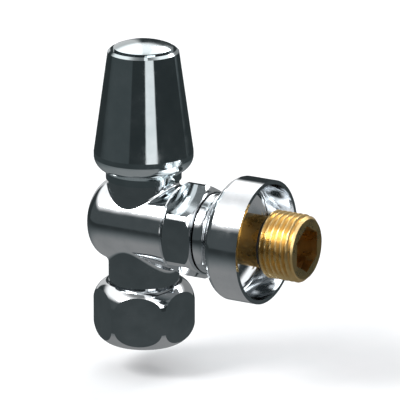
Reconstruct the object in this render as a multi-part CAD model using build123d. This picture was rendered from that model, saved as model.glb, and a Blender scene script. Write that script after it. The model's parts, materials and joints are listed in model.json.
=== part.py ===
from build123d import *
import math
import os

# Lockshield radiator valve, angle pattern, in millimetres.
# The origin is the centre of the compression nut's lower face, where the 15 mm pipe enters.
# +Z goes up the spindle and +X goes along the outlet to the radiator.
# Threads are cylinders at their crest radius. On the body's two outside threads, V-shaped rings at
# the thread's pitch stand in for the helix.

# ---- driving dimensions ----
PIPE_RADIUS = 7.5
PIPE_SOCKET_RADIUS = PIPE_RADIUS + 0.1
PIPE_STOP_Z = 20.0

RUNNING_GAP = 0.08      # radial, between threads and shafts that turn in one another
FIXED_GAP = 0.05        # radial, between pieces that stay together
THREAD_DEPTH = 0.55     # depth of a thread, as a share of its pitch
THREAD_CREST = 0.16     # flat left at a thread's crest, as a share of its pitch
FACE_GAP = 0.1          # between flat faces that part when a piece moves
SHOULDER_BULGE = 0.13   # rise of a nut's shoulder arc, as a share of its chord

# foot of the valve
FOOT_NUT_FLATS = 28.0
FOOT_NUT_CORNERS = 31.6
FOOT_NUT_HEIGHT = 19.0
FOOT_NUT_WALL = 4.0
FOOT_NUT_CONE = 2.6     # height of the cone that squeezes the olive
FOOT_NUT_RISE = 5.6
FOOT_NUT_END_RADIUS = 11.9
FOOT_NUT_TURN = 23.0    # degrees that the hexagon's corner stands from +X
FOOT_THREAD_RADIUS = 10.4
FOOT_THREAD_BOTTOM = 8.5
FOOT_THREAD_TOP = 17.6
FOOT_THREAD_PITCH = 1.814
OLIVE_BOTTOM = 4.4
OLIVE_TOP = 10.5
OLIVE_RADIUS = 8.9
OLIVE_WIDE_BOTTOM = 5.7
OLIVE_WIDE_TOP = 8.4
OLIVE_EDGE = 0.3
OLIVE_MOUTH_RADIUS = 9.4
OLIVE_MOUTH_TOP = 11.0
NECK_RADIUS = 11.0
NECK_BOTTOM = 19.4

# body
OUTLET_Z = 38.0
BARREL_RADIUS = 13.0
BARREL_DOME_X = -17.5
BARREL_DOME_DEPTH = 5.6    # sagitta of the shallow dome
BARREL_DOME_CORNER = 6.5
BARREL_END_X = 13.4
BARREL_CHAMFER = 0.5
BODY_TOP = 52.0
CHAMBER_RADIUS = 9.35
CHAMBER_BOTTOM = 29.5
INLET_RADIUS = 5.0
SEAT_OUTER_RADIUS = 6.6
SEAT_TOP = 31.0
OUTLET_BORE_RADIUS = 6.5
OUTLET_THREAD_RADIUS = 11.0
OUTLET_FACE_X = 18.7
UNION_PITCH = 1.5
UPPER_BLEND = 0.8
LOWER_BLEND = 1.8

# headwork
BONNET_BOTTOM = 44.5
BONNET_HEX_FLATS = 17.5
BONNET_HEX_BOTTOM = 52.6
BONNET_HEX_TOP = 56.5
BONNET_BOSS_RADIUS = 8.5
BONNET_BOSS_TOP = 66.5
BONNET_SEAL_RADIUS = 10.05
SPINDLE_THREAD_RADIUS = 5.0
SPINDLE_SEAL_RADIUS = 4.0
SPINDLE_TOP_RADIUS = 3.5
SPINDLE_SHOULDER_Z = 57.4
THREAD_BORE_TOP = 54.5
GLAND_RADIUS = 5.5
GLAND_BOTTOM = 61.6
GLAND_WASHER_THICKNESS = 0.8
GLAND_PACKING_HEIGHT = 2.6
GLAND_NUT_FLATS = 12.0
GLAND_NUT_CORNERS = 13.5
GLAND_NUT_RISE = 0.8
GLAND_NUT_END_RADIUS = 5.8
GLAND_NUT_HEAD = 3.0
SPINDLE_THREAD_START = 45.0
SPINDLE_THREAD_LENGTH = 5.2
SPINDLE_SQUARE = 4.9
SPINDLE_SQUARE_EDGE = 0.5
SPINDLE_TOP_Z = 73.0
SPINDLE_O_RING_SECTION = 1.4
SPINDLE_O_RING_Z = 56.2

# valve disc
DISC_RADIUS = 7.7
SEAT_WASHER_RADIUS = 7.0
SEAT_WASHER_THICKNESS = 2.0
DISC_LIP_BOTTOM = 31.9
DISC_PLATE_THICKNESS = 2.2
DISC_BOSS_RADIUS = 5.2
DISC_TOP = 40.4
DISC_SOCKET_RADIUS = 3.4
DISC_SOCKET_BOTTOM = 36.5
FOOT_COLLAR_RADIUS = 3.2
FOOT_COLLAR_TOP = 38.0
FOOT_NECK_RADIUS = 2.4
CLIP_BOTTOM = 38.3
CLIP_THICKNESS = 0.9
CLIP_RADIUS = 4.2
CLIP_OPENING = 50.0     # degrees
WASHER_SCREW_RADIUS = 1.5
WASHER_SCREW_HEAD_RADIUS = 2.8
WASHER_SCREW_HEAD = 1.2
WASHER_SCREW_LENGTH = 4.4
WASHER_SCREW_HOLE = 2.6
WASHER_SCREW_SLOT = 0.7
WASHER_SCREW_SLOT_DEPTH = 0.5

# cap and its liner
CAP_BOTTOM = 52.2
CAP_BOTTOM_RADIUS = 11.7
CAP_FOOT_TOP = 54.4
CAP_WAIST_Z = 55.0
CAP_WAIST_RADIUS = 12.3
CAP_WIDE_Z = 59.2
CAP_WIDE_RADIUS = 15.4
CAP_BAND = 1.6
CAP_TOP_Z = 93.2
CAP_TOP_RADIUS = 11.0
CAP_EDGE = 0.8
CAP_SKIRT_BORE = 10.7
CAP_CAVITY_TOP = 80.0
CAP_CROWN_BORE = 8.6
CAP_CROWN_CAVITY_TOP = 89.2
LINER_INNER_RADIUS = BONNET_BOSS_RADIUS + RUNNING_GAP
LINER_OUTER_RADIUS = 10.2
LINER_TOP = 79.4
LINER_ROOF = 1.4
LINER_RIB_RADIUS = 10.75
LINER_RIB_Z = 66.0
LINER_RIB_HEIGHT = 1.2
LINER_O_RING_SECTION = 0.9
LINER_O_RING_Z = 62.0
BUTTON_RADIUS = 9.2
BUTTON_RIM = 0.6
BUTTON_RISE = 2.0
BUTTON_STEM_RADIUS = 3.0
BUTTON_STEM_LENGTH = 3.6

# union and radiator side
UNION_NUT_FLATS = 26.5
UNION_NUT_CORNERS = 29.8
UNION_NUT_START = 13.9
UNION_NUT_END = 24.0
UNION_NUT_WALL = 2.0
UNION_NUT_RISE = 1.8
UNION_NUT_END_RADIUS = 12.8
TAIL_RADIUS = 8.0
TAIL_START = 19.9
TAIL_BORE_RADIUS = 6.0
TAIL_THREAD_RADIUS = 10.48
TAIL_THREAD_START = 45.7
TAIL_END = 57.5
TAIL_HEX_FLATS = 12.7
TAIL_HEX_DEPTH = 12.0
TAIL_CHAMFER = 0.9
UNION_SEAL_RADIUS = 9.8
UNION_SEAL_BORE = 6.6
SNAP_RING_START = 20.7
SNAP_RING_WIDTH = 1.2
SNAP_RING_GROOVE_RADIUS = 7.2
SNAP_RING_RADIUS = 9.7
SNAP_RING_OPENING = 30.0  # degrees
TAIL_O_RING_SECTION = 1.1
SHROUD_START = 24.4
SHROUD_NECK_RADIUS = 12.4
SHROUD_NECK_END = 25.8
SHROUD_HUB_END = 27.4
SHROUD_FLARE_END = 34.0
SHROUD_FLARE_LEAN = 0.6     # how far the flare's middle sits past halfway
SHROUD_RIM_SPLAY = 0.25     # outward per unit along, where the flare meets the rim
SHROUD_RADIUS = 19.2
SHROUD_END = 43.5
SHROUD_SKIN = 1.3
SHROUD_O_RING_SECTION = 1.4
SHROUD_O_RING_X = (SHROUD_START + SHROUD_HUB_END) / 2


# ---- helpers ----
def turned(points):
    """Solid of revolution about Z from (radius, z) points."""
    outline = Polyline([(radius, 0, z) for radius, z in points], close=True)
    return revolve(make_face(outline), axis=Axis.Z)


def thread_grooves(crest, bottom, top, pitch):
    """V-shaped rings that stand in for the helix of an outside thread, to be cut from its cylinder."""
    depth = THREAD_DEPTH * pitch
    half_width = (1 - THREAD_CREST) * pitch / 2
    slope = half_width / depth
    grooves = []
    for i in range(int((top - bottom) / pitch)):
        middle = bottom + (i + 0.5) * pitch
        reach = slope * (depth + RUNNING_GAP)
        grooves.append(turned([(crest - depth, middle), (crest + RUNNING_GAP, middle - reach),
                               (crest + RUNNING_GAP, middle + reach)]))
    return grooves


def along_outlet(solid):
    """Lays a solid that was turned about Z along +X, on the outlet's axis."""
    return Pos(0, 0, OUTLET_Z) * Rot(0, 90, 0) * solid


def ring(inner, outer, bottom, top):
    return turned([(inner, bottom), (outer, bottom), (outer, top), (inner, top)])


def rod(radius, bottom, top):
    return Pos(0, 0, bottom) * Cylinder(radius, top - bottom, align=(Align.CENTER, Align.CENTER, Align.MIN))


def o_ring(inner, section, middle):
    """Round-section ring, given by its inner radius and the height of its middle."""
    return Pos(0, 0, middle) * Torus(inner + section / 2, section / 2)


def hexagon(flats, bottom, top, turn=0.0):
    """Hexagonal prism with a corner at the angle turn from +X."""
    outline = RegularPolygon(flats / 2, 6, major_radius=False)
    return Pos(0, 0, bottom) * Rot(0, 0, turn) * extrude(outline, top - bottom)


def shoulder(end_radius, end_z, radius, z):
    """Bulging arc that turns a nut's corners off, from its end face to its widest."""
    start, end = Vector(end_radius, 0, end_z), Vector(radius, 0, z)
    chord = end - start
    outward = Vector(abs(chord.Z), 0, -abs(chord.X) if z > end_z else abs(chord.X))
    return ThreePointArc(start, (start + end) / 2 + outward * SHOULDER_BULGE, end)


def rounded_nut(flats, corners, bottom, top, rise, end_radius, turn=0.0):
    """Hexagon whose corners are turned off by a domed shoulder of height rise at each end."""
    radius = corners / 2
    outline = make_face([
        Line((0, 0, bottom), (end_radius, 0, bottom)),
        shoulder(end_radius, bottom, radius, bottom + rise),
        Line((radius, 0, bottom + rise), (radius, 0, top - rise)),
        shoulder(end_radius, top, radius, top - rise),
        Line((end_radius, 0, top), (0, 0, top)),
        Line((0, 0, top), (0, 0, bottom)),
    ])
    return hexagon(flats, bottom, top, turn) & revolve(outline, axis=Axis.Z)


# ---- body and headwork ----
def crossing_edges(shell, above):
    """Edges where the upright neck meets the barrel, above or below the barrel's axis."""
    return [edge for edge in shell.edges()
            if abs(edge.center().Z - OUTLET_Z) < BARREL_RADIUS + 0.5
            and math.hypot(edge.position_at(0.37).X, edge.position_at(0.37).Y) < NECK_RADIUS + 0.01
            and (edge.position_at(0.37).Z > OUTLET_Z) == above
            and edge.geom_type != GeomType.LINE and edge.position_at(0.37).Z < BODY_TOP - 0.01
            and edge.position_at(0.37).Z > NECK_BOTTOM + 0.01]


def valve_body():
    neck = rod(NECK_RADIUS, NECK_BOTTOM, BODY_TOP)
    rim_x = BARREL_DOME_X + BARREL_DOME_DEPTH
    dome_radius = (BARREL_RADIUS ** 2 + BARREL_DOME_DEPTH ** 2) / (2 * BARREL_DOME_DEPTH)
    half_radius = BARREL_RADIUS / 2
    half_x = BARREL_DOME_X + dome_radius - math.sqrt(dome_radius ** 2 - half_radius ** 2)
    outline = make_face([
        ThreePointArc((0, 0, BARREL_DOME_X), (half_radius, 0, half_x), (BARREL_RADIUS, 0, rim_x)),
        Polyline((BARREL_RADIUS, 0, rim_x), (BARREL_RADIUS, 0, BARREL_END_X - BARREL_CHAMFER),
                 (BARREL_RADIUS - BARREL_CHAMFER, 0, BARREL_END_X), (0, 0, BARREL_END_X), (0, 0, BARREL_DOME_X)),
    ])
    barrel = revolve(outline, axis=Axis.Z)
    rim = [edge for edge in barrel.edges().filter_by(GeomType.CIRCLE) if abs(edge.center().Z - rim_x) < 0.01]
    barrel = along_outlet(fillet(rim, BARREL_DOME_CORNER))
    shell = neck + barrel
    shell = fillet(crossing_edges(shell, above=False), LOWER_BLEND)
    shell = fillet(crossing_edges(shell, above=True), UPPER_BLEND)
    foot_thread = rod(FOOT_THREAD_RADIUS, FOOT_THREAD_BOTTOM, NECK_BOTTOM)
    foot_thread -= thread_grooves(FOOT_THREAD_RADIUS, FOOT_THREAD_BOTTOM, FOOT_THREAD_TOP, FOOT_THREAD_PITCH)
    outlet_thread = rod(OUTLET_THREAD_RADIUS, 0, OUTLET_FACE_X)
    outlet_thread -= thread_grooves(OUTLET_THREAD_RADIUS, BARREL_END_X, OUTLET_FACE_X, UNION_PITCH)
    outlet_thread = along_outlet(outlet_thread)
    waterway = turned([
        (0, FOOT_THREAD_BOTTOM - 1), (OLIVE_MOUTH_RADIUS, FOOT_THREAD_BOTTOM - 1),
        (OLIVE_MOUTH_RADIUS, FOOT_THREAD_BOTTOM), (PIPE_SOCKET_RADIUS, OLIVE_MOUTH_TOP),
        (PIPE_SOCKET_RADIUS, PIPE_STOP_Z), (INLET_RADIUS, PIPE_STOP_Z), (INLET_RADIUS, SEAT_TOP),
        (SEAT_OUTER_RADIUS, SEAT_TOP), (SEAT_OUTER_RADIUS, CHAMBER_BOTTOM), (CHAMBER_RADIUS, CHAMBER_BOTTOM),
        (CHAMBER_RADIUS, BODY_TOP + 1), (0, BODY_TOP + 1)])
    waterway += along_outlet(rod(OUTLET_BORE_RADIUS, 0, OUTLET_FACE_X + 1))
    return shell + foot_thread + outlet_thread - waterway


def bonnet():
    plug = rod(CHAMBER_RADIUS - FIXED_GAP, BONNET_BOTTOM, BONNET_HEX_BOTTOM)
    head = hexagon(BONNET_HEX_FLATS, BONNET_HEX_BOTTOM, BONNET_HEX_TOP)
    boss = rod(BONNET_BOSS_RADIUS, BONNET_HEX_TOP, BONNET_BOSS_TOP)
    solid = plug + head + boss
    solid -= rod(SPINDLE_THREAD_RADIUS + RUNNING_GAP, BONNET_BOTTOM, THREAD_BORE_TOP)
    solid -= rod(SPINDLE_SEAL_RADIUS + RUNNING_GAP, THREAD_BORE_TOP, GLAND_BOTTOM)
    solid -= rod(GLAND_RADIUS, GLAND_BOTTOM, BONNET_BOSS_TOP)
    return solid


def bonnet_seal():
    return ring(CHAMBER_RADIUS, BONNET_SEAL_RADIUS, BODY_TOP, BONNET_HEX_BOTTOM)


def gland_washer():
    return ring(SPINDLE_TOP_RADIUS + RUNNING_GAP, GLAND_RADIUS - FIXED_GAP,
                GLAND_BOTTOM, GLAND_BOTTOM + GLAND_WASHER_THICKNESS)


def gland_packing():
    bottom = GLAND_BOTTOM + GLAND_WASHER_THICKNESS
    return ring(SPINDLE_TOP_RADIUS + RUNNING_GAP, GLAND_RADIUS - FIXED_GAP, bottom, bottom + GLAND_PACKING_HEIGHT)


def gland_nut():
    bottom = GLAND_BOTTOM + GLAND_WASHER_THICKNESS + GLAND_PACKING_HEIGHT
    head_top = BONNET_BOSS_TOP + GLAND_NUT_HEAD
    solid = rod(GLAND_RADIUS - FIXED_GAP, bottom, BONNET_BOSS_TOP)
    solid += rounded_nut(GLAND_NUT_FLATS, GLAND_NUT_CORNERS, BONNET_BOSS_TOP, head_top, GLAND_NUT_RISE,
                         GLAND_NUT_END_RADIUS)
    return solid - rod(SPINDLE_TOP_RADIUS + RUNNING_GAP, bottom, head_top)


# ---- spindle and valve disc ----
def spindle():
    collar_bottom = DISC_SOCKET_BOTTOM + FACE_GAP
    shank_bottom = DISC_TOP + FACE_GAP
    groove = SPINDLE_O_RING_SECTION / 2 + FIXED_GAP
    groove_radius = SPINDLE_SEAL_RADIUS - SPINDLE_O_RING_SECTION + FIXED_GAP
    solid = rod(FOOT_COLLAR_RADIUS, collar_bottom, FOOT_COLLAR_TOP)
    solid += rod(FOOT_NECK_RADIUS, FOOT_COLLAR_TOP, shank_bottom)
    solid += rod(SPINDLE_SEAL_RADIUS, shank_bottom, SPINDLE_SHOULDER_Z)
    solid += rod(SPINDLE_THREAD_RADIUS, SPINDLE_THREAD_START, SPINDLE_THREAD_START + SPINDLE_THREAD_LENGTH)
    solid += rod(SPINDLE_TOP_RADIUS, SPINDLE_SHOULDER_Z, BONNET_BOSS_TOP)
    key = Pos(0, 0, BONNET_BOSS_TOP) * extrude(Rectangle(SPINDLE_SQUARE, SPINDLE_SQUARE),
                                               SPINDLE_TOP_Z - BONNET_BOSS_TOP)
    key = chamfer(key.edges().group_by(Axis.Z)[-1], SPINDLE_SQUARE_EDGE)
    solid += key
    return solid - ring(groove_radius, SPINDLE_SEAL_RADIUS + 1, SPINDLE_O_RING_Z - groove,
                        SPINDLE_O_RING_Z + groove)


def spindle_o_ring():
    inner = SPINDLE_SEAL_RADIUS - SPINDLE_O_RING_SECTION + FIXED_GAP
    return o_ring(inner, SPINDLE_O_RING_SECTION, SPINDLE_O_RING_Z)


def disc_holder():
    plate_bottom = SEAT_TOP + FACE_GAP + SEAT_WASHER_THICKNESS
    plate_top = plate_bottom + DISC_PLATE_THICKNESS
    solid = rod(DISC_RADIUS, DISC_LIP_BOTTOM, plate_top)
    solid -= rod(SEAT_WASHER_RADIUS + FIXED_GAP, DISC_LIP_BOTTOM, plate_bottom)
    solid += rod(DISC_BOSS_RADIUS, plate_top, DISC_TOP)
    solid -= rod(DISC_SOCKET_RADIUS, DISC_SOCKET_BOTTOM, DISC_TOP)
    solid -= rod(CLIP_RADIUS + FIXED_GAP, CLIP_BOTTOM, CLIP_BOTTOM + CLIP_THICKNESS)
    return solid - rod(WASHER_SCREW_RADIUS + FIXED_GAP, plate_bottom, plate_bottom + WASHER_SCREW_HOLE)


def seat_washer():
    bottom = SEAT_TOP + FACE_GAP
    return ring(WASHER_SCREW_RADIUS + FIXED_GAP, SEAT_WASHER_RADIUS, bottom, bottom + SEAT_WASHER_THICKNESS)


def washer_screw():
    under_head = SEAT_TOP + FACE_GAP
    head = rod(WASHER_SCREW_HEAD_RADIUS, under_head - WASHER_SCREW_HEAD, under_head)
    slot = Box(2 * WASHER_SCREW_HEAD_RADIUS, WASHER_SCREW_SLOT, 2 * WASHER_SCREW_SLOT_DEPTH)
    slot = Pos(0, 0, under_head - WASHER_SCREW_HEAD) * slot
    return head - slot + rod(WASHER_SCREW_RADIUS, under_head, under_head + WASHER_SCREW_LENGTH)


def split_ring(inner, outer, bottom, top, opening):
    """Flat ring with a gap of the given angle, centred on -X."""
    wedge = Polyline([(0, 0, bottom),
                      (-2 * outer, -2 * outer * math.tan(math.radians(opening / 2)), bottom),
                      (-2 * outer, 2 * outer * math.tan(math.radians(opening / 2)), bottom)], close=True)
    return ring(inner, outer, bottom, top) - extrude(make_face(wedge), top - bottom, dir=(0, 0, 1))


def disc_clip():
    return split_ring(FOOT_NECK_RADIUS + RUNNING_GAP, CLIP_RADIUS, CLIP_BOTTOM, CLIP_BOTTOM + CLIP_THICKNESS,
                      CLIP_OPENING)


# ---- cap and liner ----
def cap_liner():
    bottom = BONNET_HEX_TOP + FACE_GAP
    solid = rod(LINER_OUTER_RADIUS, bottom, LINER_TOP)
    solid += rod(LINER_RIB_RADIUS, LINER_RIB_Z, LINER_RIB_Z + LINER_RIB_HEIGHT)
    solid -= rod(LINER_INNER_RADIUS, bottom, LINER_TOP - LINER_ROOF)
    groove = LINER_O_RING_SECTION / 2 + FIXED_GAP
    return solid - ring(LINER_INNER_RADIUS - 1, LINER_INNER_RADIUS + LINER_O_RING_SECTION + FIXED_GAP,
                        LINER_O_RING_Z - groove, LINER_O_RING_Z + groove)


def liner_o_ring():
    return o_ring(LINER_INNER_RADIUS - 0.02, LINER_O_RING_SECTION, LINER_O_RING_Z)


def lockshield_cap():
    band_top = CAP_WIDE_Z + CAP_BAND
    outline = make_face([
        Polyline((0, 0, CAP_BOTTOM), (CAP_BOTTOM_RADIUS, 0, CAP_BOTTOM), (CAP_BOTTOM_RADIUS, 0, CAP_FOOT_TOP),
                 (CAP_WAIST_RADIUS, 0, CAP_WAIST_Z)),
        shoulder(CAP_WAIST_RADIUS, CAP_WAIST_Z, CAP_WIDE_RADIUS, CAP_WIDE_Z),
        Polyline((CAP_WIDE_RADIUS, 0, CAP_WIDE_Z), (CAP_WIDE_RADIUS, 0, band_top),
                 (CAP_TOP_RADIUS, 0, CAP_TOP_Z - CAP_EDGE), (CAP_TOP_RADIUS - CAP_EDGE, 0, CAP_TOP_Z),
                 (0, 0, CAP_TOP_Z), (0, 0, CAP_BOTTOM)),
    ])
    solid = revolve(outline, axis=Axis.Z)
    bore = LINER_OUTER_RADIUS + RUNNING_GAP
    solid -= rod(CAP_SKIRT_BORE, CAP_BOTTOM, BONNET_HEX_TOP)
    solid -= rod(bore, BONNET_HEX_TOP, CAP_CAVITY_TOP)
    solid -= rod(LINER_RIB_RADIUS + RUNNING_GAP, LINER_RIB_Z - FACE_GAP, LINER_RIB_Z + LINER_RIB_HEIGHT + FACE_GAP)
    solid -= rod(CAP_CROWN_BORE, CAP_CAVITY_TOP, CAP_CROWN_CAVITY_TOP)
    return solid - rod(BUTTON_STEM_RADIUS + FIXED_GAP, CAP_CROWN_CAVITY_TOP, CAP_TOP_Z)


def cap_button():
    rim_top = CAP_TOP_Z + BUTTON_RIM
    crown = rim_top + BUTTON_RISE
    dome_radius = (BUTTON_RADIUS ** 2 + BUTTON_RISE ** 2) / (2 * BUTTON_RISE)
    half_radius = BUTTON_RADIUS / 2
    half_z = crown - dome_radius + math.sqrt(dome_radius ** 2 - half_radius ** 2)
    dome = make_face([
        Polyline((0, 0, crown), (0, 0, CAP_TOP_Z), (BUTTON_RADIUS, 0, CAP_TOP_Z), (BUTTON_RADIUS, 0, rim_top)),
        ThreePointArc((BUTTON_RADIUS, 0, rim_top), (half_radius, 0, half_z), (0, 0, crown)),
    ])
    return revolve(dome, axis=Axis.Z) + rod(BUTTON_STEM_RADIUS, CAP_TOP_Z - BUTTON_STEM_LENGTH, CAP_TOP_Z)


# ---- pipe end ----
def compression_nut():
    solid = rounded_nut(FOOT_NUT_FLATS, FOOT_NUT_CORNERS, 0, FOOT_NUT_HEIGHT, FOOT_NUT_RISE,
                        FOOT_NUT_END_RADIUS, FOOT_NUT_TURN)
    bore = FOOT_THREAD_RADIUS + RUNNING_GAP
    inside = turned([(0, -1), (PIPE_SOCKET_RADIUS, -1), (PIPE_SOCKET_RADIUS, FOOT_NUT_WALL),
                     (bore, FOOT_NUT_WALL + FOOT_NUT_CONE), (bore, FOOT_NUT_HEIGHT + 1), (0, FOOT_NUT_HEIGHT + 1)])
    return solid - inside


def pipe_olive():
    return turned([(PIPE_SOCKET_RADIUS, OLIVE_BOTTOM), (PIPE_SOCKET_RADIUS + OLIVE_EDGE, OLIVE_BOTTOM),
                   (OLIVE_RADIUS, OLIVE_WIDE_BOTTOM), (OLIVE_RADIUS - FACE_GAP, OLIVE_WIDE_TOP),
                   (PIPE_SOCKET_RADIUS + OLIVE_EDGE - FACE_GAP, OLIVE_TOP), (PIPE_SOCKET_RADIUS, OLIVE_TOP)])


# ---- union and radiator side ----
def union_nut():
    solid = rounded_nut(UNION_NUT_FLATS, UNION_NUT_CORNERS, UNION_NUT_START, UNION_NUT_END, UNION_NUT_RISE,
                        UNION_NUT_END_RADIUS)
    inside = UNION_NUT_END - UNION_NUT_WALL
    solid -= rod(OUTLET_THREAD_RADIUS + RUNNING_GAP, UNION_NUT_START, inside)
    return along_outlet(solid - rod(TAIL_RADIUS + RUNNING_GAP, inside, UNION_NUT_END))


def radiator_tail():
    thread = turned([(0, TAIL_THREAD_START), (TAIL_THREAD_RADIUS, TAIL_THREAD_START),
                     (TAIL_THREAD_RADIUS, TAIL_END - TAIL_CHAMFER), (TAIL_THREAD_RADIUS - TAIL_CHAMFER, TAIL_END),
                     (0, TAIL_END)])
    solid = rod(TAIL_RADIUS, TAIL_START, TAIL_THREAD_START) + thread
    solid -= ring(SNAP_RING_GROOVE_RADIUS, TAIL_RADIUS + 1, SNAP_RING_START, SNAP_RING_START + SNAP_RING_WIDTH)
    solid -= rod(TAIL_BORE_RADIUS, TAIL_START, TAIL_END)
    solid -= hexagon(TAIL_HEX_FLATS, TAIL_END - TAIL_HEX_DEPTH, TAIL_END)
    return along_outlet(solid)


def tail_o_ring():
    middle = TAIL_THREAD_START - TAIL_O_RING_SECTION / 2
    return along_outlet(o_ring(TAIL_RADIUS, TAIL_O_RING_SECTION, middle))


def union_seal():
    return along_outlet(ring(UNION_SEAL_BORE, UNION_SEAL_RADIUS, OUTLET_FACE_X + FACE_GAP, TAIL_START))


def union_snap_ring():
    return along_outlet(split_ring(SNAP_RING_GROOVE_RADIUS + FIXED_GAP, SNAP_RING_RADIUS, SNAP_RING_START,
                                   SNAP_RING_START + SNAP_RING_WIDTH - FACE_GAP, SNAP_RING_OPENING))


def bell(inset, start, end):
    """Solid bell between two stations on the outlet, its outline moved inwards by inset."""
    neck = SHROUD_NECK_RADIUS - inset
    rim = SHROUD_RADIUS - inset
    middle = (SHROUD_NECK_END + SHROUD_FLARE_END) / 2
    outline = make_face([
        Spline((neck, 0, SHROUD_NECK_END), ((neck + rim) / 2, 0, middle + SHROUD_FLARE_LEAN),
               (rim, 0, SHROUD_FLARE_END), tangents=[(0, 0, 1), (SHROUD_RIM_SPLAY, 0, 1)]),
        Polyline((rim, 0, SHROUD_FLARE_END), (rim, 0, end), (0, 0, end), (0, 0, start), (neck, 0, start),
                 (neck, 0, SHROUD_NECK_END)),
    ])
    return revolve(outline, axis=Axis.Z)


def radiator_shroud():
    hollow = bell(SHROUD_SKIN, SHROUD_START, SHROUD_END) - rod(SHROUD_RADIUS, SHROUD_START, SHROUD_HUB_END)
    solid = bell(0, SHROUD_START, SHROUD_END) - hollow
    solid -= rod(TAIL_RADIUS + 3 * RUNNING_GAP, SHROUD_START, SHROUD_HUB_END)
    return along_outlet(solid - ring(TAIL_RADIUS, TAIL_RADIUS + SHROUD_O_RING_SECTION + 2 * RUNNING_GAP,
                                     SHROUD_O_RING_X - SHROUD_O_RING_SECTION / 2 - FIXED_GAP,
                                     SHROUD_O_RING_X + SHROUD_O_RING_SECTION / 2 + FIXED_GAP))


def shroud_o_ring():
    return along_outlet(o_ring(TAIL_RADIUS + RUNNING_GAP, SHROUD_O_RING_SECTION, SHROUD_O_RING_X))


SUB_PARTS = [
    valve_body, bonnet, bonnet_seal, gland_washer, gland_packing, gland_nut,
    spindle, spindle_o_ring, disc_holder, seat_washer, washer_screw, disc_clip,
    cap_liner, liner_o_ring, lockshield_cap, cap_button,
    compression_nut, pipe_olive,
    union_nut, radiator_tail, tail_o_ring, union_seal, union_snap_ring,
    radiator_shroud, shroud_o_ring,
]

os.makedirs("parts", exist_ok=True)
for make in SUB_PARTS:
    export_step(make(), f"parts/{make.__name__}.step")
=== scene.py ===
import json
import math

import bmesh
import bpy
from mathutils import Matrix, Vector


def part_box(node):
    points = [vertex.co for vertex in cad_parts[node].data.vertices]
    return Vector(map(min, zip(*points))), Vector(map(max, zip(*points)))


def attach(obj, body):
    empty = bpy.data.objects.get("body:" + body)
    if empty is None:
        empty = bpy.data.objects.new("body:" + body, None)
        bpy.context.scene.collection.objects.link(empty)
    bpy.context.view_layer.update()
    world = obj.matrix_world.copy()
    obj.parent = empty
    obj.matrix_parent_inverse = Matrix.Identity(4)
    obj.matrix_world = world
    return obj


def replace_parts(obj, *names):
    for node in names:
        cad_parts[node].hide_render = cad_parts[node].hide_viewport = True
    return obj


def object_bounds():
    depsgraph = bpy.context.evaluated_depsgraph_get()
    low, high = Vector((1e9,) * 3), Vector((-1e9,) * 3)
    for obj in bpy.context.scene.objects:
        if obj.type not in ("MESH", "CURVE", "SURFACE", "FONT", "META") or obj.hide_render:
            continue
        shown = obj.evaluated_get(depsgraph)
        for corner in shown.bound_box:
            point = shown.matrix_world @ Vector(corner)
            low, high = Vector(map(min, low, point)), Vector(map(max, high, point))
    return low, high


# A chrome lockshield radiator valve. Lengths are in metres, in the CAD frame: the pipe enters
# the compression nut at the origin, +Z goes up the spindle and +X goes out to the radiator.

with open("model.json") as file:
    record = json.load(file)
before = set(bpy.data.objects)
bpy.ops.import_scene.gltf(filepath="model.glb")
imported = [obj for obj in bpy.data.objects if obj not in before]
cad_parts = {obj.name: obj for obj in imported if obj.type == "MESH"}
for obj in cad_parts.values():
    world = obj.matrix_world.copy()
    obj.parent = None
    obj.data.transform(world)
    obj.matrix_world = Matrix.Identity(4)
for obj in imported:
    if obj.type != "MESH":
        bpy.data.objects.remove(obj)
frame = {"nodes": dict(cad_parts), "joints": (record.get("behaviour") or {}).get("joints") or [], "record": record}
cad_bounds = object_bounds()

MM = 0.001
CAMERA_AZIMUTH = 30      # degrees
CAMERA_ELEVATION = 17    # degrees
CAMERA_DISTANCE = 1.6
CAMERA_LENS = 470.0      # millimetres, as Blender takes it


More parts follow.
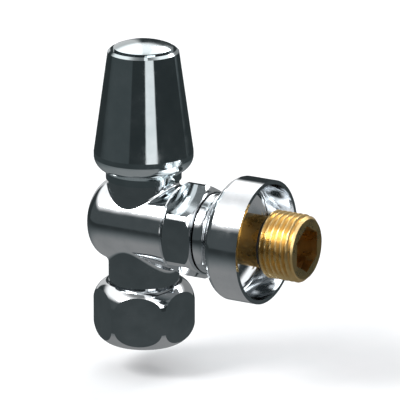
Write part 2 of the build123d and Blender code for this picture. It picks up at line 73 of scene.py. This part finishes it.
# ---- node helpers ----
class Shader:
    """A material's node tree with short calls for the nodes used here."""

    def __init__(self, name):
        self.material = bpy.data.materials.new(name)
        self.material.use_nodes = True
        self.tree = self.material.node_tree
        self.surface = self.tree.nodes["Principled BSDF"]
        self.position = self.tree.nodes.new("ShaderNodeTexCoord").outputs["Object"]

    def node(self, kind, **settings):
        new = self.tree.nodes.new(kind)
        for key, value in settings.items():
            setattr(new, key, value)
        return new

    def link(self, source, target):
        self.tree.links.new(source, target)

    def set(self, **values):
        for key, value in values.items():
            self.surface.inputs[key.replace("_", " ")].default_value = value

    def stretched(self, scale):
        """Object position with each axis scaled on its own."""
        mapping = self.node("ShaderNodeMapping")
        mapping.inputs["Scale"].default_value = scale
        self.link(self.position, mapping.inputs["Vector"])
        return mapping.outputs["Vector"]

    def noise(self, scale, detail=4.0, roughness=0.55, vector=None):
        texture = self.node("ShaderNodeTexNoise")
        texture.inputs["Scale"].default_value = scale
        texture.inputs["Detail"].default_value = detail
        texture.inputs["Roughness"].default_value = roughness
        self.link(vector or self.position, texture.inputs["Vector"])
        return texture.outputs["Fac"]

    def span(self, value, low, high, out_low, out_high):
        ranged = self.node("ShaderNodeMapRange")
        ranged.interpolation_type = "SMOOTHSTEP"
        limits = {"From Min": low, "From Max": high, "To Min": out_low, "To Max": out_high}
        for socket, number in limits.items():
            ranged.inputs[socket].default_value = number
        self.link(value, ranged.inputs["Value"])
        return ranged.outputs["Result"]

    def colours(self, value, *stops):
        """Colour ramp from (place, (r, g, b)) stops."""
        ramp = self.node("ShaderNodeValToRGB")
        elements = ramp.color_ramp.elements
        while len(elements) < len(stops):
            elements.new(0.5)
        for element, (place, colour) in zip(elements, stops):
            element.position = place
            element.color = (*colour, 1.0)
        self.link(value, ramp.inputs["Fac"])
        return ramp.outputs["Color"]

    def bumps(self, *layers):
        """Stacks bump layers of (height, strength, distance in metres)."""
        normal = None
        for height, strength, distance in layers:
            bump = self.node("ShaderNodeBump")
            bump.inputs["Strength"].default_value = strength
            bump.inputs["Distance"].default_value = distance
            self.link(height, bump.inputs["Height"])
            if normal:
                self.link(normal, bump.inputs["Normal"])
            normal = bump.outputs["Normal"]
        self.link(normal, self.surface.inputs["Normal"])


# Noise scales are in cycles per metre, and bump distances in metres.
def chrome(name, bright, dull, wave=0.14):
    """Plated metal: soft casting waves, polishing lines, faint haze and finger smudges."""
    shader = Shader(name)
    shader.set(Metallic=1.0)
    haze = shader.noise(90, 5.0)
    smudge = shader.noise(260, 3.0, 0.7)
    lines = shader.noise(1.0, 4.0, 0.6, shader.stretched((300, 300, 5200)))
    waves = shader.noise(150, 1.0)
    shader.link(shader.colours(haze, (0.32, dull), (0.62, bright)), shader.surface.inputs["Base Color"])
    mixed = shader.node("ShaderNodeMath", operation="MULTIPLY")
    shader.link(haze, mixed.inputs[0])
    shader.link(smudge, mixed.inputs[1])
    shader.link(shader.span(mixed.outputs[0], 0.18, 0.42, 0.045, 0.15), shader.surface.inputs["Roughness"])
    shader.bumps((waves, wave, 0.00025), (lines, 0.06, 0.00003))
    return shader.material


def turned_metal(name, bright, tarnish, roughness=(0.22, 0.42), axis_scale=(200, 200, 4200)):
    """Machined metal: fine turning rings, tarnish in patches and a duller skin where it is dark."""
    shader = Shader(name)
    shader.set(Metallic=1.0)
    patches = shader.noise(170, 6.0, 0.62)
    rings = shader.noise(1.0, 3.0, 0.5, shader.stretched(axis_scale))
    grain = shader.noise(2600, 2.0)
    colour = shader.colours(patches, (0.28, tarnish), (0.66, bright))
    shader.link(colour, shader.surface.inputs["Base Color"])
    shader.link(shader.span(patches, 0.35, 0.65, roughness[1], roughness[0]),
                shader.surface.inputs["Roughness"])
    shader.bumps((rings, 0.35, 0.00004), (grain, 0.12, 0.00002))
    return shader.material


def moulded(name, base, shade, roughness, grain_scale, grain_depth, specular=0.4):
    """Rubber, fibre or plastic: mottled colour and a fine moulded grain."""
    shader = Shader(name)
    shader.surface.inputs["Specular IOR Level"].default_value = specular
    mottle = shader.noise(240, 5.0, 0.6)
    grain = shader.noise(grain_scale, 4.0, 0.6)
    shader.link(shader.colours(mottle, (0.35, shade), (0.65, base)), shader.surface.inputs["Base Color"])
    shader.link(shader.span(grain, 0.3, 0.7, roughness - 0.08, roughness + 0.08),
                shader.surface.inputs["Roughness"])
    shader.bumps((grain, 0.4, grain_depth))
    return shader.material


MATERIALS = {
    "chrome": chrome("polished_chrome", (0.80, 0.82, 0.84), (0.68, 0.71, 0.73)),
    "cap_chrome": chrome("cap_chrome", (0.70, 0.76, 0.78), (0.58, 0.65, 0.67), wave=0.12),
    "brass": turned_metal("turned_brass", (0.86, 0.63, 0.29), (0.66, 0.46, 0.19)),
    "steel": turned_metal("spring_steel", (0.66, 0.66, 0.67), (0.42, 0.41, 0.40)),
    "rubber": moulded("black_rubber", (0.030, 0.030, 0.032), (0.014, 0.014, 0.015), 0.62, 3000, 0.00004, 0.3),
    "fibre": moulded("red_fibre", (0.36, 0.12, 0.07), (0.20, 0.06, 0.04), 0.8, 5200, 0.00008, 0.2),
    "ptfe": moulded("white_ptfe", (0.88, 0.88, 0.85), (0.76, 0.76, 0.73), 0.45, 2200, 0.00003),
    "liner_plastic": moulded("ivory_nylon", (0.80, 0.79, 0.73), (0.68, 0.67, 0.61), 0.42, 1800, 0.00003),
}


def dress_cad_nodes():
    slots = {row["node"]: row["material_slot"] for row in frame["record"]["subparts"]}
    for name, node in frame["nodes"].items():
        node.data.materials.clear()
        node.data.materials.append(MATERIALS[slots[name]])


# ---- threaded tail ----
tail_low, tail_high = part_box("radiator_tail")
OUTLET_Z = (tail_low.z + tail_high.z) / 2
TAIL_FRONT = tail_low.x
TAIL_END = tail_high.x
TAIL_THREAD_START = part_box("tail_o_ring")[1].x
TAIL_THREAD_CREST = (tail_high.z - tail_low.z) / 2
TAIL_THREAD_DEPTH = 1.16 * MM
TAIL_THREAD_PITCH = 1.814 * MM
THREAD_STEPS_PER_PITCH = 16
THREAD_RUN_OUT = 1.2 * MM       # length over which the thread fades out at the tail's end
THREAD_LEAD_IN = 0.6 * MM       # rate at which it grows where it starts, from the height below
THREAD_LEAD_IN_HEIGHT = 0.35
TOOTH_ROOT = 0.14               # flat share of the tooth's half pitch at the root
TOOTH_FLANK = 0.72              # share taken by the flank
TOOTH_FULLNESS = 0.92           # exponent that fills the flanks out a little
TAIL_RADIUS = 8.0 * MM
TAIL_EDGE = 0.25 * MM
TAIL_BORE = 6.0 * MM
GROOVE_RADIUS = 7.2 * MM
GROOVE_WIDTH = 1.2 * MM
GROOVE_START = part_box("union_snap_ring")[0].x
GROOVE_END = GROOVE_START + GROOVE_WIDTH
TAIL_HEX_APOTHEM = 6.35 * MM
TAIL_HEX_DEPTH = 12.0 * MM
TAIL_HEX_START = TAIL_END - TAIL_HEX_DEPTH
AROUND = 144


def thread_wave(phase):
    """Height of the thread's tooth: 1 on its flat crest, 0 on its flat root."""
    triangle = abs(2 * (phase % 1.0) - 1)
    return min(1.0, max(0.0, (triangle - TOOTH_ROOT) / TOOTH_FLANK)) ** TOOTH_FULLNESS


def tail_outer_radius(x, angle):
    along = x - TAIL_THREAD_START
    if along < 0:
        return TAIL_RADIUS
    tooth = thread_wave(along / TAIL_THREAD_PITCH - angle / (2 * math.pi))
    root = TAIL_THREAD_CREST - TAIL_THREAD_DEPTH
    end_taper = min(1.0, (TAIL_END - x) / THREAD_RUN_OUT)
    start_taper = min(1.0, along / THREAD_LEAD_IN + THREAD_LEAD_IN_HEIGHT)
    crest = root + (TAIL_THREAD_CREST - root) * min(end_taper, start_taper)
    return min(root + TAIL_THREAD_DEPTH * tooth, crest)


def tail_inner_radius(x, angle):
    if x < TAIL_HEX_START:
        return TAIL_BORE
    step = math.pi / 3
    within = (angle + step / 2) % step - step / 2
    return TAIL_HEX_APOTHEM / math.cos(within)


def tail_rings():
    """Stations round the tail's section as (x, radius, is outside).

    A radius of None follows the thread outside and the hexagon inside.
    """
    steps = round((TAIL_END - TAIL_THREAD_START) / TAIL_THREAD_PITCH * THREAD_STEPS_PER_PITCH)
    step = (TAIL_END - TAIL_THREAD_START) / steps
    outside = [(TAIL_FRONT, TAIL_RADIUS - TAIL_EDGE), (TAIL_FRONT + TAIL_EDGE, TAIL_RADIUS),
               (GROOVE_START, TAIL_RADIUS), (GROOVE_START, GROOVE_RADIUS),
               (GROOVE_END, GROOVE_RADIUS), (GROOVE_END, TAIL_RADIUS), (TAIL_THREAD_START, TAIL_RADIUS)]
    outside += [(TAIL_THREAD_START + i * step, None) for i in range(steps + 1)]
    inside = [(TAIL_END, None), (TAIL_HEX_START, None), (TAIL_HEX_START, TAIL_BORE), (TAIL_FRONT, TAIL_BORE)]
    return [(x, r, True) for x, r in outside] + [(x, r, False) for x, r in inside]


def threaded_tail():
    mesh = bmesh.new()
    rings = []
    for x, radius, outer in tail_rings():
        row = []
        for i in range(AROUND):
            angle = 2 * math.pi * i / AROUND
            if radius is not None:
                r = radius
            elif outer:
                r = tail_outer_radius(x, angle)
            else:
                r = tail_inner_radius(max(x, TAIL_HEX_START), angle)
            row.append(mesh.verts.new((x, r * math.cos(angle), OUTLET_Z + r * math.sin(angle))))
        rings.append(row)
    count = len(rings)
    for k in range(count):
        here, after = rings[k], rings[(k + 1) % count]
        for i in range(AROUND):
            j = (i + 1) % AROUND
            mesh.faces.new((here[i], here[j], after[j], after[i]))
    bmesh.ops.recalc_face_normals(mesh, faces=mesh.faces)
    return finished("radiator_tail_threaded", mesh, "tail", "brass")


def finished(name, mesh, body, slot, smooth_angle=32):
    """Turns a bmesh into a piece with smooth shading, a material and a body to ride on."""
    data = bpy.data.meshes.new(name)
    mesh.to_mesh(data)
    mesh.free()
    piece = bpy.data.objects.new(name, data)
    bpy.context.collection.objects.link(piece)
    data.materials.append(MATERIALS[slot])
    data.shade_smooth()
    data.set_sharp_from_angle(angle=math.radians(smooth_angle))
    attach(piece, body)
    return piece


# ---- stage ----
# The valve hangs on its pipe, so the floor leaves room for the compression nut to be run down.
FLOOR_SIZE = 14.0
FLOOR_CLEARANCE = 0.6 * MM
NUT_TRAVEL = next(row["range_m"][1] for row in frame["joints"] if row["name"] == "olive_slide")
FLOOR_DROP = NUT_TRAVEL + FLOOR_CLEARANCE


def floor():
    mesh = bpy.data.meshes.new("floor")
    half = FLOOR_SIZE / 2
    mesh.from_pydata([(-half, -half, -FLOOR_DROP), (half, -half, -FLOOR_DROP),
                      (half, half, -FLOOR_DROP), (-half, half, -FLOOR_DROP)], [], [(0, 1, 2, 3)])
    plane = bpy.data.objects.new("floor", mesh)
    bpy.context.collection.objects.link(plane)
    shader = Shader("pale_floor")
    shader.set(Roughness=0.9)
    shader.surface.inputs["Specular IOR Level"].default_value = 0.1
    grain = shader.noise(60, 3.0)
    shader.link(shader.colours(grain, (0.3, (0.86, 0.87, 0.88)), (0.7, (0.89, 0.89, 0.90))),
                shader.surface.inputs["Base Color"])
    mesh.materials.append(shader.material)
    plane.visible_glossy = False


# The room that the chrome reflects, by the reflected ray's rise (the sine of its elevation): bright
# above, dimmer right overhead, dark at eye level and grey below. Each band is (rise where it
# starts, rise where it is full, strength). Round it stand tall windows, each as (heading from the
# camera's in degrees, half width in degrees, strength).
CEILING = (0.36, 0.60, 1.25)
OVERHEAD = (0.84, 0.96, -1.05)
GROUND = (-0.20, -0.72, 0.02, 0.26)       # with its strength at the start too
WINDOW_SILL = (-0.16, -0.10)
ROOM_GLOW = 0.018
DIM_TINT = (0.80, 1.0, 1.05, 1)     # colour of the room's darkest parts
BRIGHT_TINT = (1, 1, 1, 1)
BRIGHT_TINT_FROM = 0.3              # strength from which the room is white
PALE_LIGHT = (0.96, 0.97, 0.98, 1)  # even light that falls on everything, and the plain backdrop
PALE_STRENGTH = 0.75
CAMERA_HEADING = CAMERA_AZIMUTH - 90
WINDOWS = [(19, 11, 1.0), (142, 24, 0.24), (-75, 40, 0.04), (-165, 10, 0.6)]
WINDOW_SOFTNESS = 4


def room():
    world = bpy.data.worlds.new("studio")
    bpy.context.scene.world = world
    world.use_nodes = True
    tree = world.node_tree
    tree.nodes.clear()
    link = tree.links.new

    def math_node(operation, first, second=None):
        node = tree.nodes.new("ShaderNodeMath")
        node.operation = operation
        for socket, value in zip(node.inputs, (first, second)):
            if value is None:
                continue
            if isinstance(value, (int, float)):
                socket.default_value = value
            else:
                link(value, socket)
        return node.outputs[0]

    def smooth_span(value, low, high, out_low, out_high):
        node = tree.nodes.new("ShaderNodeMapRange")
        node.interpolation_type = "SMOOTHSTEP"
        for socket, number in zip(list(node.inputs)[1:5], (low, high, out_low, out_high)):
            socket.default_value = number
        link(value, node.inputs[0])
        return node.outputs[0]

    direction = tree.nodes.new("ShaderNodeTexCoord").outputs["Generated"]
    split = tree.nodes.new("ShaderNodeSeparateXYZ")
    link(direction, split.inputs[0])
    level = split.outputs["Z"]
    flat = tree.nodes.new("ShaderNodeVectorMath")
    flat.operation = "MULTIPLY"
    flat.inputs[1].default_value = (1, 1, 0)
    link(direction, flat.inputs[0])
    heading = tree.nodes.new("ShaderNodeVectorMath")
    heading.operation = "NORMALIZE"
    link(flat.outputs[0], heading.inputs[0])

    ceiling = smooth_span(level, *CEILING[:2], 0.0, CEILING[2])
    overhead = smooth_span(level, *OVERHEAD[:2], 0.0, OVERHEAD[2])
    ground = smooth_span(level, *GROUND)
    total = math_node("ADD", math_node("ADD", ceiling, overhead), ground)
    wall_low = smooth_span(level, *WINDOW_SILL, 0.0, 1.0)
    for turn, half_width, strength in WINDOWS:
        angle = math.radians(CAMERA_HEADING + turn)
        dot = tree.nodes.new("ShaderNodeVectorMath")
        dot.operation = "DOT_PRODUCT"
        dot.inputs[1].default_value = (math.cos(angle), math.sin(angle), 0)
        link(heading.outputs[0], dot.inputs[0])
        outer = math.cos(math.radians(half_width + WINDOW_SOFTNESS))
        inner = math.cos(math.radians(half_width))
        window = smooth_span(dot.outputs["Value"], outer, inner, 0.0, strength)
        total = math_node("ADD", total, math_node("MULTIPLY", window, wall_low))
    total = math_node("ADD", total, ROOM_GLOW)

    reflected = tree.nodes.new("ShaderNodeBackground")
    tint = tree.nodes.new("ShaderNodeValToRGB")
    tint.color_ramp.elements[0].color = DIM_TINT
    tint.color_ramp.elements[1].color = BRIGHT_TINT
    tint.color_ramp.elements[1].position = BRIGHT_TINT_FROM
    link(total, tint.inputs[0])
    link(tint.outputs[0], reflected.inputs["Color"])
    link(total, reflected.inputs["Strength"])
    plain = tree.nodes.new("ShaderNodeBackground")
    plain.inputs["Color"].default_value = PALE_LIGHT
    plain.inputs["Strength"].default_value = PALE_STRENGTH
    mix = tree.nodes.new("ShaderNodeMixShader")
    path = tree.nodes.new("ShaderNodeLightPath")
    link(path.outputs["Is Glossy Ray"], mix.inputs[0])
    link(plain.outputs[0], mix.inputs[1])
    link(reflected.outputs[0], mix.inputs[2])
    output = tree.nodes.new("ShaderNodeOutputWorld")
    link(mix.outputs[0], output.inputs["Surface"])


LIGHTS_AIM = Vector((0, 0, 0.05))


def soft_light(name, place, size, power):
    """Rectangular lamp of a size in metres and a power in watts, aimed at the valve's middle."""
    data = bpy.data.lights.new(name, "AREA")
    data.shape = "RECTANGLE"
    data.size, data.size_y = size
    data.energy = power
    lamp = bpy.data.objects.new(name, data)
    lamp.location = place
    lamp.rotation_euler = (LIGHTS_AIM - Vector(place)).to_track_quat("-Z", "Y").to_euler()
    bpy.context.collection.objects.link(lamp)


def camera():
    low, high = (Vector(corner) for corner in cad_bounds)
    middle = (low + high) / 2
    azimuth, elevation = math.radians(CAMERA_AZIMUTH), math.radians(CAMERA_ELEVATION)
    away = Vector((math.sin(azimuth) * math.cos(elevation), -math.cos(azimuth) * math.cos(elevation),
                   math.sin(elevation)))
    data = bpy.data.cameras.new("camera")
    data.lens = CAMERA_LENS
    data.clip_end = 50
    eye = bpy.data.objects.new("camera", data)
    eye.location = middle + away * CAMERA_DISTANCE
    eye.rotation_euler = (-away).to_track_quat("-Z", "Y").to_euler()
    bpy.context.collection.objects.link(eye)
    bpy.context.scene.camera = eye


dress_cad_nodes()
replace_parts(threaded_tail(), "radiator_tail")
floor()
room()
soft_light("key", (-0.5, -0.7, 0.9), (0.5, 0.5), 9)
soft_light("fill", (0.9, -0.5, 0.5), (0.6, 0.6), 3)
soft_light("back", (0.1, 0.9, 0.8), (0.8, 0.4), 4)
camera()
bpy.context.scene.view_settings.view_transform = "Standard"
